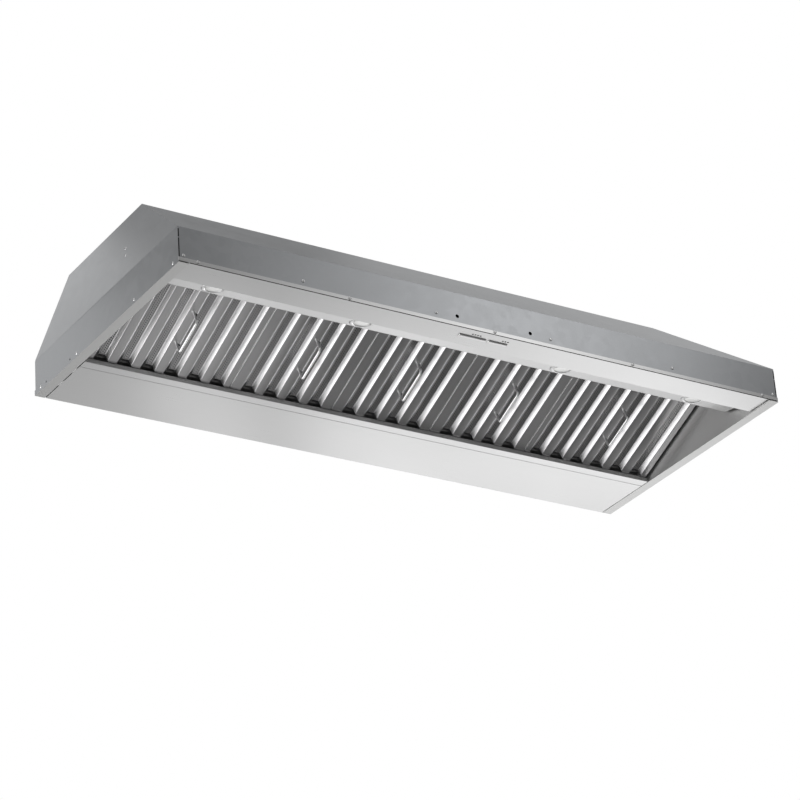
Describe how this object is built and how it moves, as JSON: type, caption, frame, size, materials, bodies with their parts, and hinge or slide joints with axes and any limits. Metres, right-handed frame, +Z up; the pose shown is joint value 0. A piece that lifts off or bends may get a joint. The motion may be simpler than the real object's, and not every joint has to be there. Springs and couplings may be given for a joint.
{
  "type": "range hood insert",
  "caption": "Wide range hood insert with tilted baffle filters on wire handles, rocker controls, recessed lamps, a centrifugal blower and a round damper collar.",
  "frame": {"origin": "middle of the underside of the rim, below the middle of the part's box", "axes": "+X to the right along the front, +Y from the front to the wall, +Z up towards the duct"},
  "size_m": [1.4824, 0.637, 0.3438],
  "materials": {
    "galvanised_sheet": "dull galvanised, faint spangle",
    "stainless_sheet": "brushed stainless",
    "aluminium_mesh": "layered expanded mesh",
    "bright_wire": "polished",
    "black_plastic": "moulded, matte",
    "green_board": "lacquered circuit board",
    "clear_plastic": "clear moulded",
    "lens_glass": "frosted",
    "cast_aluminium": "as cast",
    "motor_paint": "satin black",
    "zinc_steel": "zinc plated"
  },
  "bodies": {
    "hood": {"front_shell": "galvanised_sheet", "left_cap": "galvanised_sheet", "right_cap": "galvanised_sheet", "back_panel": "galvanised_sheet", "top_panel": "galvanised_sheet", "front_trim": "stainless_sheet", "left_rail": "stainless_sheet", "right_rail": "stainless_sheet", "control_strip": "stainless_sheet", "lamp_strip": "stainless_sheet", "filter_channel": "stainless_sheet", "grease_gutter": "stainless_sheet", "filter_ledge": "stainless_sheet", "rear_panel": "stainless_sheet", "bar_carrier": "black_plastic", "control_board": "green_board", "fan_lights": "clear_plastic", "lamp_lights": "clear_plastic", "lamp_trims": "bright_wire", "lamp_lenses": "lens_glass", "lamp_cans": "cast_aluminium", "lamp_driver": "black_plastic", "junction_box": "galvanised_sheet", "junction_cover": "galvanised_sheet", "blower_housing": "galvanised_sheet", "blower_motor": "motor_paint", "motor_bracket": "zinc_steel", "duct_collar": "galvanised_sheet", "damper_rod": "zinc_steel", "rim_screws": "zinc_steel", "wall_screws": "zinc_steel", "slope_rivets": "zinc_steel"},
    "filter_1": {"filter_1_baffles": "stainless_sheet", "filter_1_mesh": "aluminium_mesh", "filter_1_frame": "stainless_sheet", "filter_1_handle": "bright_wire"},
    "filter_2": {"filter_2_baffles": "stainless_sheet", "filter_2_mesh": "aluminium_mesh", "filter_2_frame": "stainless_sheet", "filter_2_handle": "bright_wire"},
    "filter_3": {"filter_3_baffles": "stainless_sheet", "filter_3_mesh": "aluminium_mesh", "filter_3_frame": "stainless_sheet", "filter_3_handle": "bright_wire"},
    "filter_4": {"filter_4_baffles": "stainless_sheet", "filter_4_mesh": "aluminium_mesh", "filter_4_frame": "stainless_sheet", "filter_4_handle": "bright_wire"},
    "filter_5": {"filter_5_baffles": "stainless_sheet", "filter_5_mesh": "aluminium_mesh", "filter_5_frame": "stainless_sheet", "filter_5_handle": "bright_wire"},
    "fan_control": {"fan_bar": "bright_wire"},
    "lamp_control": {"lamp_bar": "bright_wire"},
    "rotor": {"blower_wheel": "galvanised_sheet", "motor_shaft": "zinc_steel"},
    "front_damper": {"front_flap": "galvanised_sheet"},
    "rear_damper": {"rear_flap": "galvanised_sheet"}
  },
  "joints": [
    {"name": "filter_1_push", "type": "slide", "parent": "hood", "child": "filter_1", "axis": [0, -0.9205, 0.3907], "range_m": [0, 0.018]},
    {"name": "filter_2_push", "type": "slide", "parent": "hood", "child": "filter_2", "axis": [0, -0.9205, 0.3907], "range_m": [0, 0.018]},
    {"name": "filter_3_push", "type": "slide", "parent": "hood", "child": "filter_3", "axis": [0, -0.9205, 0.3907], "range_m": [0, 0.018]},
    {"name": "filter_4_push", "type": "slide", "parent": "hood", "child": "filter_4", "axis": [0, -0.9205, 0.3907], "range_m": [0, 0.018]},
    {"name": "filter_5_push", "type": "slide", "parent": "hood", "child": "filter_5", "axis": [0, -0.9205, 0.3907], "range_m": [0, 0.018]},
    {"name": "fan_rock", "type": "hinge", "parent": "hood", "child": "fan_control", "pos_m": [-0.036, -0.284, 0.01215], "axis": [0, 1, 0], "range_deg": [-2, 2], "stiffness_Nm_per_rad": 0.6},
    {"name": "lamp_rock", "type": "hinge", "parent": "hood", "child": "lamp_control", "pos_m": [0.026, -0.284, 0.01215], "axis": [0, 1, 0], "range_deg": [-2, 2], "stiffness_Nm_per_rad": 0.6},
    {"name": "rotor_spin", "type": "hinge", "parent": "hood", "child": "rotor", "pos_m": [0, 0.1235, 0.172], "axis": [1, 0, 0], "continuous": true},
    {"name": "front_flap_swing", "type": "hinge", "parent": "hood", "child": "front_damper", "pos_m": [0, 0.1735, 0.3208], "axis": [-1, 0, 0], "range_deg": [0, 80]},
    {"name": "rear_flap_swing", "type": "hinge", "parent": "hood", "child": "rear_damper", "pos_m": [0, 0.1735, 0.3208], "axis": [1, 0, 0], "range_deg": [0, 80]}
  ]
}
